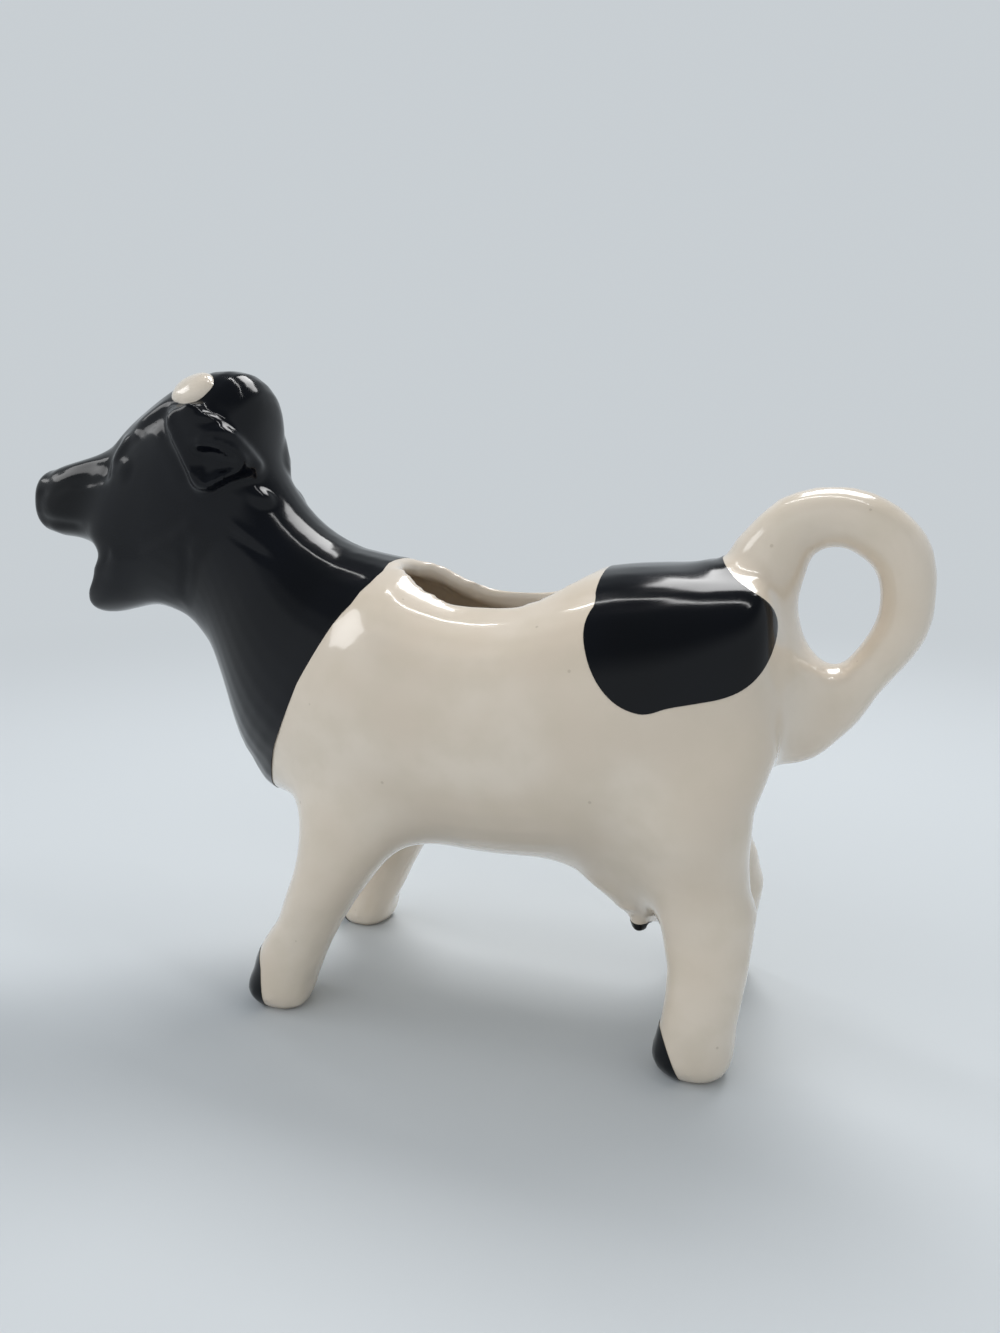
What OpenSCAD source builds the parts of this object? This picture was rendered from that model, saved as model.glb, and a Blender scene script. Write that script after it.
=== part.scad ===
// Cow creamer: a slip-cast milk jug in the form of a standing cow.
// Milk goes in through the opening in the back and pours from the mouth; the tail is the handle.
// +Z is up, the head points along -X, and the origin is on the table under the middle of the jug.

/* [Whole jug] */
// Length from nose to the back of the tail
cow_l = 186; // [150:1:240]
// Height from the soles to the top of the head
cow_h = 127; // [100:1:160]
// Width of the barrel
body_w = 58; // [48:1:72]
// Thickness of the cast wall
wall = 3.6; // [2.5:0.1:5]

/* [Filling opening] */
// Length of the opening along the back
fill_l = 39; // [28:1:46]
// Width of the opening across the back
fill_w = 24; // [16:1:30]

/* [Pouring mouth] */
// Width of the mouth
mouth_w = 12; // [8:0.5:14]
// Height of the mouth
mouth_h = 8; // [5:0.5:9]
// How deep the mouth is cut, as far as the hollow of the head
mouth_depth = 10.5; // [8:0.5:14]

/* [Tail handle] */
// Thickness of the tail in side view
tail_t = 10.6; // [7:0.2:14]
// Thickness of the tail seen from behind
tail_w = 11.5; // [7:0.5:16]

/* [Legs] */
// Length of a front foot along the jug
front_foot_l = 14.6; // [11:0.2:18]
// Length of a hind foot along the jug
hind_foot_l = 14.2; // [11:0.2:18]
// Width of a foot across the jug
foot_w = 13.6; // [10:0.2:18]
// Distance between the middles of the left and right feet
stance_w = 42; // [34:1:50]
// Height of the black toe glaze
toe_h = 10; // [6:0.5:16]
// Depth of the black glaze at the sole of a front foot
front_toe_l = 6.3; // [3:0.1:9]
// Depth of the black glaze at the sole of a hind foot
hind_toe_l = 6.6; // [3:0.1:9]

/* [Horns and ears] */
// Diameter of a horn stub
horn_d = 6.2; // [5:0.2:9]
// Length of a horn stub from its root in the head
horn_l = 10.2; // [8:0.2:14]
// Length of an ear
ear_l = 16.8; // [12:0.2:20]
// Breadth of an ear
ear_w = 14.4; // [11:0.2:18]
// Thickness of an ear
ear_t = 2.6; // [1.6:0.1:4]
// Depth of the cup in an ear
ear_cup = 1.5; // [0.6:0.1:2]

/* [Udder] */
// Length of the udder along the belly, as a share of the cow's length
udder_share = 0.215; // [0.16:0.005:0.26]
// Width of the udder
udder_w = 27; // [18:1:34]
// Diameter of a teat
teat_d = 3.6; // [2:0.1:5]
// Length of the black tip of a teat
teat_l = 2; // [1.8:0.1:4]

/* [Glaze] */
// How far the black rump glaze stands proud of the wall
glaze_t = 0.4; // [0.2:0.05:0.8]

/* [Hidden] */

cream = [0.87, 0.82, 0.74];
black = [0.04, 0.04, 0.06];

// Overrun of every cut past the face that it opens
over = wall / 2;
// Points round each section of the cast walls, the legs and the tail
cast_sides = 40;
leg_sides = 20;
tail_sides = 18;
// Rings from one row of a table to the next, and rings in an end dome
cast_steps = 2;
dome_steps = 5;
// Points along the side of a glaze or ear outline from one row to the next
outline_steps = 2;
LEFT = -1;
RIGHT = 1;
FRONT = -1;
REAR = 1;

// Side outline and widths of the casting, from rump to nose. Each row is one section through the
// hollow form: the point on the back [x, z], the point under it [x, z], the half width, the height
// of the widest line, how square the section is, and how far its sides are swept back.
// x is a share of the length counted from the nose, z one of the height, and half width and sweep
// are shares of the barrel's width.
cast_shares = [
  [0.838, 0.709, 0.825, 0.394, 0.371, 0.54, 2.30, 0.000],
  [0.788, 0.708, 0.793, 0.319, 0.445, 0.54, 2.20, 0.000],
  [0.739, 0.703, 0.747, 0.277, 0.476, 0.54, 2.15, 0.000],
  [0.695, 0.696, 0.699, 0.258, 0.488, 0.53, 2.10, 0.000],
  [0.661, 0.685, 0.661, 0.252, 0.493, 0.53, 2.10, 0.000],
  [0.624, 0.668, 0.624, 0.249, 0.497, 0.54, 2.10, 0.000],
  [0.586, 0.661, 0.586, 0.248, 0.497, 0.54, 2.10, 0.000],
  [0.548, 0.666, 0.546, 0.250, 0.495, 0.54, 2.10, 0.000],
  [0.514, 0.681, 0.500, 0.254, 0.490, 0.53, 2.10, 0.000],
  [0.491, 0.698, 0.449, 0.264, 0.481, 0.52, 2.10, 0.021],
  [0.475, 0.701, 0.401, 0.281, 0.466, 0.51, 2.10, 0.041],
  [0.465, 0.703, 0.353, 0.306, 0.445, 0.50, 2.10, 0.057],
  [0.456, 0.706, 0.311, 0.335, 0.417, 0.50, 2.10, 0.066],
  [0.411, 0.718, 0.284, 0.372, 0.369, 0.50, 2.10, 0.059],
  [0.375, 0.742, 0.269, 0.413, 0.324, 0.50, 2.10, 0.045],
  [0.348, 0.773, 0.258, 0.457, 0.283, 0.50, 2.10, 0.029],
  [0.329, 0.809, 0.247, 0.498, 0.248, 0.50, 2.10, 0.014],
  [0.315, 0.847, 0.235, 0.538, 0.224, 0.51, 2.15, 0.000],
  [0.309, 0.885, 0.216, 0.570, 0.212, 0.53, 2.20, 0.000],
  [0.311, 0.925, 0.199, 0.591, 0.210, 0.56, 2.25, 0.000],
  [0.306, 0.963, 0.180, 0.603, 0.216, 0.60, 2.30, 0.000],
  [0.285, 0.993, 0.161, 0.610, 0.217, 0.60, 2.30, 0.000],
  [0.250, 0.998, 0.144, 0.610, 0.210, 0.58, 2.25, 0.000],
  [0.216, 0.985, 0.127, 0.605, 0.198, 0.55, 2.20, 0.000],
  [0.188, 0.966, 0.109, 0.599, 0.188, 0.52, 2.20, 0.000],
  [0.165, 0.946, 0.091, 0.594, 0.178, 0.50, 2.20, 0.000],
  [0.146, 0.928, 0.076, 0.595, 0.169, 0.48, 2.20, 0.000],
  [0.131, 0.911, 0.074, 0.608, 0.160, 0.46, 2.20, 0.000],
  [0.118, 0.894, 0.084, 0.641, 0.152, 0.46, 2.20, 0.000],
  [0.105, 0.881, 0.090, 0.679, 0.145, 0.47, 2.20, 0.000],
  [0.087, 0.869, 0.073, 0.711, 0.143, 0.50, 2.30, 0.000],
  [0.063, 0.859, 0.051, 0.723, 0.147, 0.50, 2.40, 0.000],
  [0.041, 0.851, 0.032, 0.726, 0.143, 0.50, 2.40, 0.000],
  [0.024, 0.843, 0.019, 0.731, 0.128, 0.50, 2.40, 0.000]
];
// Rows of that table where the black glaze of the neck ends, where the head begins, where the
// hollow inside the head ends, and the nose
GLAZE_ROW = 12;
HEAD_ROW = 18;
HOLLOW_ROW = 25;
NOSE_ROW = len(cast_shares) - 1;
// Rows between which the pieces luted to the outside are fitted to the casting
RUMP_END_ROW = 5;
CHEST_ROWS = [5, 15];
POLL_ROWS = [14, 25];
// How far the rump and the nose bulge past the first and last section, and how square they are
rump_dome_share = 0.038;
nose_dome_share = 0.022;
dome_power = 2.4;

// Middle of the filling opening, as a share of the length, and how square its plan is
fill_x_share = 0.575;
fill_power = 2.3;

// Middle of the mouth [x, z] and its slope, seen from the side
mouth_shares = [0.075, 0.650];
mouth_slope = 8;

// Path of the tail [x, z] from inside the top of the rump round the finger hole to inside its back,
// with its thickness and width there as shares of the tail's own
tail_shares = [
  [0.831, 0.661, 1.45, 1.40],
  [0.841, 0.698, 1.36, 1.30],
  [0.854, 0.732, 1.20, 1.18],
  [0.874, 0.769, 1.03, 1.06],
  [0.904, 0.778, 1.00, 1.00],
  [0.931, 0.772, 0.99, 1.00],
  [0.956, 0.748, 0.99, 1.00],
  [0.971, 0.718, 0.94, 1.00],
  [0.976, 0.672, 0.86, 0.97],
  [0.973, 0.630, 0.85, 0.95],
  [0.959, 0.591, 0.79, 0.95],
  [0.939, 0.554, 0.82, 1.00],
  [0.915, 0.523, 1.38, 1.14],
  [0.885, 0.520, 2.25, 1.40],
  [0.858, 0.523, 2.40, 1.60]
];

// Outline of the black rump glaze [x, z], seen from the side
patch_shares = [
  [0.688, 0.760], [0.694, 0.680], [0.699, 0.661], [0.694, 0.640], [0.695, 0.610], [0.708, 0.577],
  [0.725, 0.550], [0.750, 0.531], [0.778, 0.541], [0.812, 0.548], [0.841, 0.563], [0.859, 0.597],
  [0.865, 0.635], [0.857, 0.668], [0.835, 0.687], [0.819, 0.700], [0.806, 0.716], [0.796, 0.768]
];

// Sections of a front and of a hind leg, from the sole up. Each row is the height, the middle [x]
// as a share of the length, the distance of the middle from the jug's centre plane as a share of
// half the stance, and length and width as shares of the foot's.
front_leg_shares = [
  [0.000, 0.361, 1.00, 0.80, 0.78],
  [0.009, 0.361, 1.00, 0.94, 0.92],
  [0.024, 0.361, 1.00, 1.00, 1.00],
  [0.045, 0.364, 1.00, 0.97, 0.95],
  [0.075, 0.373, 1.00, 0.91, 0.90],
  [0.110, 0.385, 0.99, 0.88, 0.88],
  [0.150, 0.399, 0.98, 0.90, 0.92],
  [0.189, 0.412, 0.97, 0.98, 1.02],
  [0.236, 0.429, 0.94, 1.15, 1.18],
  [0.280, 0.443, 0.90, 1.41, 1.30],
  [0.331, 0.452, 0.84, 1.72, 1.38],
  [0.390, 0.453, 0.74, 1.90, 1.34],
  [0.457, 0.462, 0.58, 1.70, 1.20]
];
hind_leg_shares = [
  [0.000, 0.806, 1.00, 0.80, 0.78],
  [0.009, 0.806, 1.00, 0.95, 0.92],
  [0.024, 0.806, 1.00, 1.02, 1.00],
  [0.050, 0.809, 1.00, 0.99, 0.95],
  [0.085, 0.812, 0.99, 0.94, 0.90],
  [0.118, 0.815, 0.95, 0.95, 0.88],
  [0.157, 0.817, 0.87, 1.00, 0.90],
  [0.197, 0.817, 0.78, 1.07, 0.96],
  [0.236, 0.815, 0.74, 1.17, 1.04],
  [0.276, 0.806, 0.75, 1.18, 1.08],
  [0.311, 0.800, 0.79, 1.20, 1.16],
  [0.354, 0.794, 0.84, 1.42, 1.30],
  [0.409, 0.792, 0.84, 1.80, 1.38],
  [0.472, 0.796, 0.76, 2.08, 1.38],
  [0.535, 0.790, 0.60, 1.95, 1.25]
];
foot_power = 2.25;
// How far the back of the toe glaze leans forward on a front and on a hind foot
front_toe_lean = 4;
hind_toe_lean = 23;

// Root of a horn inside the head [x, y, z], how far it tips over and how far it turns outwards
horn_shares = [0.266, 0.069, 0.969];
horn_tip = 104;
horn_turn = 150;
horn_sides = 32;

// Upper front corner of an ear [x, z]
ear_shares = [0.228, 0.935];
// Outline of an ear and of the cup in it: shares of its breadth back and of its length down
ear_outline_shares = [
  [0.04, 0.02], [0.01, 0.35], [0.11, 0.64], [0.25, 0.88], [0.37, 0.99], [0.56, 0.93], [0.77, 0.80],
  [0.95, 0.73], [0.99, 0.61], [0.91, 0.43], [0.71, 0.24], [0.46, 0.10], [0.23, 0.00]
];
ear_cup_shares = [
  [0.37, 0.42], [0.57, 0.48], [0.75, 0.58], [0.84, 0.68], [0.68, 0.77], [0.46, 0.83], [0.32, 0.68],
  [0.30, 0.52]
];

// Sections of the udder: height, middle [x], and length and width as shares of its own
udder_shares = [
  [0.283, 0.739, 1.02, 1.06],
  [0.244, 0.742, 0.84, 1.00],
  [0.225, 0.754, 0.68, 0.92],
  [0.206, 0.762, 0.54, 0.80],
  [0.189, 0.768, 0.42, 0.62],
  [0.178, 0.769, 0.31, 0.44],
  [0.172, 0.769, 0.17, 0.24]
];
// Middle between the teats [x], and how far a teat is from there, as a share of length and width
teat_x_share = 0.769;
teat_shares = [0.027, 0.105];
// Where the black glaze of a teat starts, and where the teat ends inside the udder, as heights
teat_z_shares = [0.165, 0.205];
// Thickness of a teat inside the udder, as a share of its own
teat_root_share = 2.1;
teat_sides = 24;

function along(share) = (share - 0.5) * cow_l;
function side_point(p) = [along(p[0]), p[1] * cow_h];
function unit(v) = v / norm(v);
function signed_power(base, power) = sign(base) * pow(abs(base), power);
function reversed(list) = [for (i = [len(list) - 1 : -1 : 0]) list[i]];

// Smooth curve through the rows of a table, at a place counted in rows
function row(table, i) = table[max(0, min(len(table) - 1, i))];
function between(table, place) =
  let (i = min(len(table) - 2, floor(place)))
  let (t = place - i)
  let (a = row(table, i - 1))
  let (b = row(table, i))
  let (c = row(table, i + 1))
  let (d = row(table, i + 2))
  b + t / 2 * (c - a) + t * t * (a - 2.5 * b + 2 * c - d / 2) + t * t * t * (1.5 * (b - c) + (d - a) / 2);

function open_curve(table, steps) =
  [for (place = [0 : 1 / steps : len(table) - 1]) between(table, place)];
function closed_curve(table, steps) =
  let (last = len(table) - 1)
  let (round_table = concat([table[last]], table, [table[0], table[1]]))
  [for (place = [1 : 1 / steps : last + 2 - 1 / steps]) between(round_table, place)];

// One section ring of the casting, drawn in by an inset, shrunk and pushed out for an end dome
function cast_ring(place, inset, shrink = 1, push = 0) =
  let (s = between(cast_shares, place))
  let (top = side_point([s[0], s[1]]))
  let (low = side_point([s[2], s[3]]))
  let (up = unit(top - low))
  let (back = [up[1], -up[0]])
  let (tall = norm(top - low) - 2 * inset)
  let (half_w = s[4] * body_w - inset)
  let (mid = low + up * (inset + tall * s[5]))
  [for (k = [0 : cast_sides - 1])
    let (v = signed_power(cos(360 * k / cast_sides), 2 / s[6]))
    let (u = signed_power(sin(360 * k / cast_sides), 2 / s[6]))
    let (rise = u > 0 ? u * tall * (1 - s[5]) : u * tall * s[5])
    let (p = mid + up * rise * shrink + back * (push + s[7] * body_w * v * v))
    [p[0], half_w * v * shrink, p[1]]
  ];

// The rings of an end dome, from the section outwards, without the pole
function dome_rings(place, inset, bulge) =
  [for (k = [1 : dome_steps - 1])
    let (t = sin(90 * k / dome_steps))
    cast_ring(place, inset, pow(1 - pow(t, dome_power), 1 / dome_power), t * bulge)];

function ring_middle(points) = (points[0] + points[len(points) / 2]) / 2;
function dome_pole(place, inset, bulge) = ring_middle(cast_ring(place, inset, 0, bulge));

function cast_rings(rows, steps, inset) =
  [for (place = [rows[0] : 1 / steps : rows[1]]) cast_ring(place, inset)];

// Faces between neighbouring rings of a list; a closed list joins its last ring to its first
function skin_faces(rings, sides, closed = false) =
  [for (i = [0 : rings - (closed ? 1 : 2)])
    for (k = [0 : sides - 1])
      let (a = i * sides + k)
      let (b = i * sides + (k + 1) % sides)
      let (c = (i + 1) % rings * sides + k)
      let (d = (i + 1) % rings * sides + (k + 1) % sides)
      for (face = [[a, c, b], [b, c, d]]) face];

function fan_faces(first, sides, pole, flip) =
  [for (k = [0 : sides - 1])
    let (a = first + k)
    let (b = first + (k + 1) % sides)
    flip ? [b, a, pole] : [a, b, pole]];

// A closed skin over a list of rings, drawn together to a pole at each end
module skin(rings, first_pole, last_pole) {
  sides = len(rings[0]);
  count = len(rings) * sides;
  polyhedron(
    points = concat([for (r = rings) for (p = r) p], [first_pole, last_pole]),
    faces = concat(
      skin_faces(len(rings), sides),
      fan_faces(0, sides, count, false),
      fan_faces(count - sides, sides, count + 1, true)
    )
  );
}

// The same with each end closed flat
module flat_ended_skin(rings) {
  skin(rings, ring_middle(rings[0]), ring_middle(rings[len(rings) - 1]));
}

// A closed skin over a list of rings that runs back into itself, as the wall of a tube does
module tube_skin(rings) {
  polyhedron(
    points = [for (r = rings) for (p = r) p],
    faces = skin_faces(len(rings), len(rings[0]), true)
  );
}

// The solid outer form of the casting between two rows, which trims what is joined to it
module cast_core(rows, grow = 0) {
  flat_ended_skin(reversed(cast_rings(rows, cast_steps, -grow)));
}

// The solid outer form of the rump, round its end
module rump_core(last_row, grow = 0) {
  bulge = rump_dome_share * cow_l + grow;
  rings = concat(
    reversed(dome_rings(0, -grow, bulge)),
    cast_rings([0, last_row], cast_steps, -grow)
  );
  skin(reversed(rings), ring_middle(rings[len(rings) - 1]), dome_pole(0, -grow, bulge));
}

// A prism across the jug, under a side outline of [x, z] points
module side_prism(outline) {
  translate([0, body_w, 0])
    rotate([90, 0, 0])
      linear_extrude(height = 2 * body_w)
        polygon(outline);
}

// A prism on one side of the jug only
module half_prism(outline, side) {
  translate([0, side == LEFT ? 0 : body_w, 0])
    rotate([90, 0, 0])
      linear_extrude(height = body_w)
        polygon(outline);
}

// A round outline that is squarer than an ellipse when the power is over 2
function round_outline(length, width, power, sides) =
  [for (k = [0 : sides - 1])
    [
      length / 2 * signed_power(cos(360 * k / sides), 2 / power),
      width / 2 * signed_power(sin(360 * k / sides), 2 / power)
    ]
  ];

// The cream barrel: a thick cast wall, closed at the rump and open to the neck
module body_shell() {
  bulge = rump_dome_share * cow_l;
  rows = [0, GLAZE_ROW];
  outer = concat(reversed(dome_rings(0, 0, bulge)), cast_rings(rows, cast_steps, 0));
  inner = concat(reversed(dome_rings(0, wall, bulge - wall)), cast_rings(rows, 1, wall));
  color(cream)
    difference() {
      skin(concat(inner, reversed(outer)), dome_pole(0, wall, bulge - wall), dome_pole(0, 0, bulge));
      translate([along(fill_x_share), 0, cow_h / 2])
        linear_extrude(height = cow_h / 2)
          polygon(round_outline(fill_l, fill_w, fill_power, cast_sides));
    }
}

// The black neck and chest, open at both ends
module neck_shell() {
  rows = [GLAZE_ROW, HEAD_ROW];
  color(black)
    tube_skin(concat(cast_rings(rows, 1, wall), reversed(cast_rings(rows, cast_steps, 0))));
}

// The black head, hollow as far as the mouth, which is the spout
module head_shell() {
  bulge = -nose_dome_share * cow_l;
  mouth = side_point(mouth_shares);
  outer = concat(
    cast_rings([HEAD_ROW, NOSE_ROW], cast_steps, 0),
    dome_rings(NOSE_ROW, 0, bulge)
  );
  inner = cast_rings([HEAD_ROW, HOLLOW_ROW], 1, wall);
  color(black)
    difference() {
      skin(
        concat(reversed(outer), inner),
        dome_pole(NOSE_ROW, 0, bulge),
        ring_middle(inner[len(inner) - 1])
      );
      translate([mouth[0] - over, 0, mouth[1]])
        rotate([0, 90 - mouth_slope, 0])
          linear_extrude(height = mouth_depth + over)
            polygon(round_outline(mouth_h, mouth_w, 2, cast_sides));
    }
}

// Section rings along the tail, each one square to the tail's path
function tail_rings(steps) =
  [for (place = [0 : 1 / steps : len(tail_shares) - 1])
    let (s = between(tail_shares, place))
    let (p = side_point(s))
    let (a = side_point(between(tail_shares, max(0, place - 1 / steps))))
    let (b = side_point(between(tail_shares, min(len(tail_shares) - 1, place + 1 / steps))))
    let (run = unit(b - a))
    [for (k = [0 : tail_sides - 1])
      let (off = s[2] * tail_t / 2 * cos(360 * k / tail_sides))
      [p[0] - run[1] * off, s[3] * tail_w / 2 * sin(360 * k / tail_sides), p[1] + run[0] * off]
    ]
  ];

module tail_form() {
  flat_ended_skin(reversed(tail_rings(cast_steps)));
}

// The tail, curled into a ring that a finger goes through
module tail_handle() {
  color(cream)
    difference() {
      tail_form();
      rump_core(RUMP_END_ROW);
    }
}

// The black glaze on the rump, a thin layer that wraps over the back from side to side
module rump_patch() {
  color(black)
    difference() {
      intersection() {
        rump_core(RUMP_END_ROW, glaze_t);
        side_prism([for (p = open_curve(patch_shares, outline_steps)) side_point(p)]);
      }
      rump_core(RUMP_END_ROW + 1);
      tail_form();
    }
}

function leg_rings(table, foot_l, side) =
  [for (s = table)
    [for (p = round_outline(s[3] * foot_l, s[4] * foot_w, foot_power, leg_sides))
      [along(s[1]) + p[0], side * (s[2] * stance_w / 2 + p[1]), s[0] * cow_h]
    ]
  ];

// The whole leg as far as inside the barrel
module leg_form(table, foot_l, side) {
  rings = leg_rings(table, foot_l, side);
  flat_ended_skin(side == LEFT ? reversed(rings) : rings);
}

// The space that the black glaze of a toe takes, in front of a leaning line
module toe_zone(table, foot_l, toe_l, lean) {
  heel = along(table[0][1]) - foot_l / 2 + toe_l;
  front = heel - foot_l;
  side_prism([
    [front, -over],
    [heel + over * tan(lean), -over],
    [heel - toe_h * tan(lean), toe_h],
    [front, toe_h]
  ]);
}

module front_leg(side) {
  color(cream)
    difference() {
      leg_form(front_leg_shares, front_foot_l, side);
      cast_core(CHEST_ROWS);
      toe_zone(front_leg_shares, front_foot_l, front_toe_l, front_toe_lean);
    }
}

module hind_leg(side) {
  color(cream)
    difference() {
      leg_form(hind_leg_shares, hind_foot_l, side);
      rump_core(RUMP_END_ROW);
      tail_form();
      toe_zone(hind_leg_shares, hind_foot_l, hind_toe_l, hind_toe_lean);
    }
}

module front_toe(side) {
  color(black)
    intersection() {
      leg_form(front_leg_shares, front_foot_l, side);
      toe_zone(front_leg_shares, front_foot_l, front_toe_l, front_toe_lean);
    }
}

module hind_toe(side) {
  color(black)
    intersection() {
      leg_form(hind_leg_shares, hind_foot_l, side);
      toe_zone(hind_leg_shares, hind_foot_l, hind_toe_l, hind_toe_lean);
    }
}

function udder_rings() =
  [for (s = udder_shares)
    [for (p = round_outline(s[2] * udder_share * cow_l, s[3] * udder_w, 2, leg_sides))
      [along(s[1]) + p[0], p[1], s[0] * cow_h]
    ]
  ];

module teat_place(end, side) {
  translate([
    along(teat_x_share + end * teat_shares[0]),
    side * teat_shares[1] * body_w,
    teat_z_shares[0] * cow_h
  ])
    children();
}

// The udder between the hind legs, with the cream part of its four teats
module udder() {
  color(cream)
    difference() {
      union() {
        flat_ended_skin(reversed(udder_rings()));
        for (end = [FRONT, REAR], side = [LEFT, RIGHT])
          teat_place(end, side)
            cylinder(
              h = (teat_z_shares[1] - teat_z_shares[0]) * cow_h,
              d1 = teat_d,
              d2 = teat_root_share * teat_d,
              $fn = teat_sides
            );
      }
      rump_core(RUMP_END_ROW);
      leg_form(hind_leg_shares, hind_foot_l, LEFT);
      leg_form(hind_leg_shares, hind_foot_l, RIGHT);
    }
}

// The black tip of a teat
module teat(end, side) {
  r = teat_d / 2;
  color(black)
    teat_place(end, side)
      translate([0, 0, -teat_l])
        rotate_extrude($fn = teat_sides)
          polygon(concat(
            [[0, teat_l], [0, 0]],
            [for (a = [-75 : 15 : 0]) [r * cos(a), r + r * sin(a)]],
            [[r, teat_l]]
          ));
}

// A blunt horn stub that leans out and forwards
module horn(side) {
  r = horn_d / 2;
  color(cream)
    difference() {
      translate([along(horn_shares[0]), side * horn_shares[1] * body_w, horn_shares[2] * cow_h])
        rotate([0, horn_tip, side * horn_turn])
          rotate_extrude($fn = horn_sides)
            polygon(concat(
              [[0, 0], [r, 0]],
              [for (a = [0 : 15 : 75]) [r * cos(a), horn_l - r + r * sin(a)]],
              [[0, horn_l]]
            ));
      cast_core(POLL_ROWS);
    }
}

function ear_curve(table) =
  [for (p = closed_curve(table, outline_steps))
    side_point(ear_shares) + [p[0] * ear_w, -p[1] * ear_l]];

// An ear laid back against the head, with a cup in its outer face
module ear(side) {
  color(black)
    difference() {
      intersection() {
        cast_core(POLL_ROWS, ear_t);
        half_prism(ear_curve(ear_outline_shares), side);
      }
      cast_core(POLL_ROWS);
      difference() {
        half_prism(ear_curve(ear_cup_shares), side);
        cast_core(POLL_ROWS, ear_t - ear_cup);
      }
    }
}

body_shell();
neck_shell();
head_shell();
tail_handle();
rump_patch();
horn(LEFT);  // horn_left
horn(RIGHT);  // horn_right
ear(LEFT);  // ear_left
ear(RIGHT);  // ear_right
front_leg(LEFT);  // front_leg_left
front_leg(RIGHT);  // front_leg_right
hind_leg(LEFT);  // hind_leg_left
hind_leg(RIGHT);  // hind_leg_right
front_toe(LEFT);  // front_toe_left
front_toe(RIGHT);  // front_toe_right
hind_toe(LEFT);  // hind_toe_left
hind_toe(RIGHT);  // hind_toe_right
udder();
teat(FRONT, LEFT);  // teat_front_left
teat(FRONT, RIGHT);  // teat_front_right
teat(REAR, LEFT);  // teat_rear_left
teat(REAR, RIGHT);  // teat_rear_right
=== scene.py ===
# %% [markdown]
# # A cow creamer in glazed earthenware
# The real jug is slip cast: liquid clay is poured into a plaster mould, and the wall that sets
# against the plaster becomes a hollow cow. It is filled through the saddle-shaped opening in the
# back and poured through the mouth, and the tail curls round to make the handle. One cream glaze
# covers it, with black glaze brushed on the head and neck, on one patch of the rump and on the toes,
# and the ends of the teats are dipped in it.
# The imported CAD model is the frame that everything here is built on, in metres.

# %% The frame
import math

import bmesh
import bpy
import numpy as np
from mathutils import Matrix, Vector
from mathutils.bvhtree import BVHTree


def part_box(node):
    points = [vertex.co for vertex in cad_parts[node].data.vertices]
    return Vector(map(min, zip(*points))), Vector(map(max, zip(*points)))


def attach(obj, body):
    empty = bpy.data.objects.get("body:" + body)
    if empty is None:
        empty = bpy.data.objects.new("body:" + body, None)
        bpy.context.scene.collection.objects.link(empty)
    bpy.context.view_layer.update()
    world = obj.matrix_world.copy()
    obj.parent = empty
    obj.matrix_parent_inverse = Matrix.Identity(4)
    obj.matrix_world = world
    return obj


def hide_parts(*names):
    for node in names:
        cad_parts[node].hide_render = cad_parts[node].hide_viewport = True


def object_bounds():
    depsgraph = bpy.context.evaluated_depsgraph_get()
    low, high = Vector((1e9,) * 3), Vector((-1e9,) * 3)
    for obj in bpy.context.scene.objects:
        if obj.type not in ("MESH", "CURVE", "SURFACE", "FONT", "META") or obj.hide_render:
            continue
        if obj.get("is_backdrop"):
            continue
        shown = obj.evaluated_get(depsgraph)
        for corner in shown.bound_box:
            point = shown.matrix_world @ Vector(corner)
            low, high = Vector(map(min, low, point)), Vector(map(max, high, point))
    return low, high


MM = 0.001
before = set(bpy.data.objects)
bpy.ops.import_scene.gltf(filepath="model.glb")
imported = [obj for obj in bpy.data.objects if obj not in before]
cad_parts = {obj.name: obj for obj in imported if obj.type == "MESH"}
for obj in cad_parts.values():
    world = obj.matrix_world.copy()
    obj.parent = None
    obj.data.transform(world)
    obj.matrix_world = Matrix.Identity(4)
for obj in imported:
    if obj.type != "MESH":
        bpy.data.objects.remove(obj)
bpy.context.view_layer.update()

# %% [markdown]
# ## The camera
# A photograph fixes how its camera stood. The feet, the ring of the tail and the nose were read off
# the picture, and the camera was turned and moved until the model's own points fell on them. The
# sensor's 36 mm fit the picture's long side, so a lens of 27 mm gives the phone's wide view.

# %% The camera
PHOTO_W, PHOTO_H = 1000, 1333
SENSOR = 36.0
FOCAL_PX = 1000.0
CAMERA_PLACE = (0.0752, -0.1860, 0.1068)
CAMERA_TILT, CAMERA_TURN = math.radians(90 - 11.12), math.radians(18.2)

camera_data = bpy.data.cameras.new("photo_camera")
camera_data.sensor_width = SENSOR
camera_data.lens = SENSOR * FOCAL_PX / PHOTO_H
camera_data.clip_start, camera_data.clip_end = 0.01, 20
camera = bpy.data.objects.new("photo_camera", camera_data)
camera.location = CAMERA_PLACE
camera.rotation_euler = (CAMERA_TILT, 0, CAMERA_TURN)
bpy.context.scene.collection.objects.link(camera)
bpy.context.scene.camera = camera
bpy.context.view_layer.update()


def photo_ray(u, v):
    """Where the camera stands, and the direction in which it sees pixel (u, v) of the photograph."""
    seen = Vector(((u - PHOTO_W / 2) / FOCAL_PX, (PHOTO_H / 2 - v) / FOCAL_PX, -1))
    return camera.location.copy(), (camera.matrix_world.to_3x3() @ seen).normalized()


print("lens, mm:", round(camera_data.lens, 2))

# %% [markdown]
# ## The studio
# Glaze shows its shape only by what it mirrors, so the surroundings matter as much as the lamps.
# The world is a pale light tent, dimmer overhead, so that the black glaze keeps its depth. A softbox
# behind and above lights the back, a long narrow lamp draws the line of light that runs down the neck
# and along the barrel in the photograph, a small softbox ahead of the cow lights its face, and a wide
# fill, which the glaze doesn't mirror, lifts the near flank.

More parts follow.
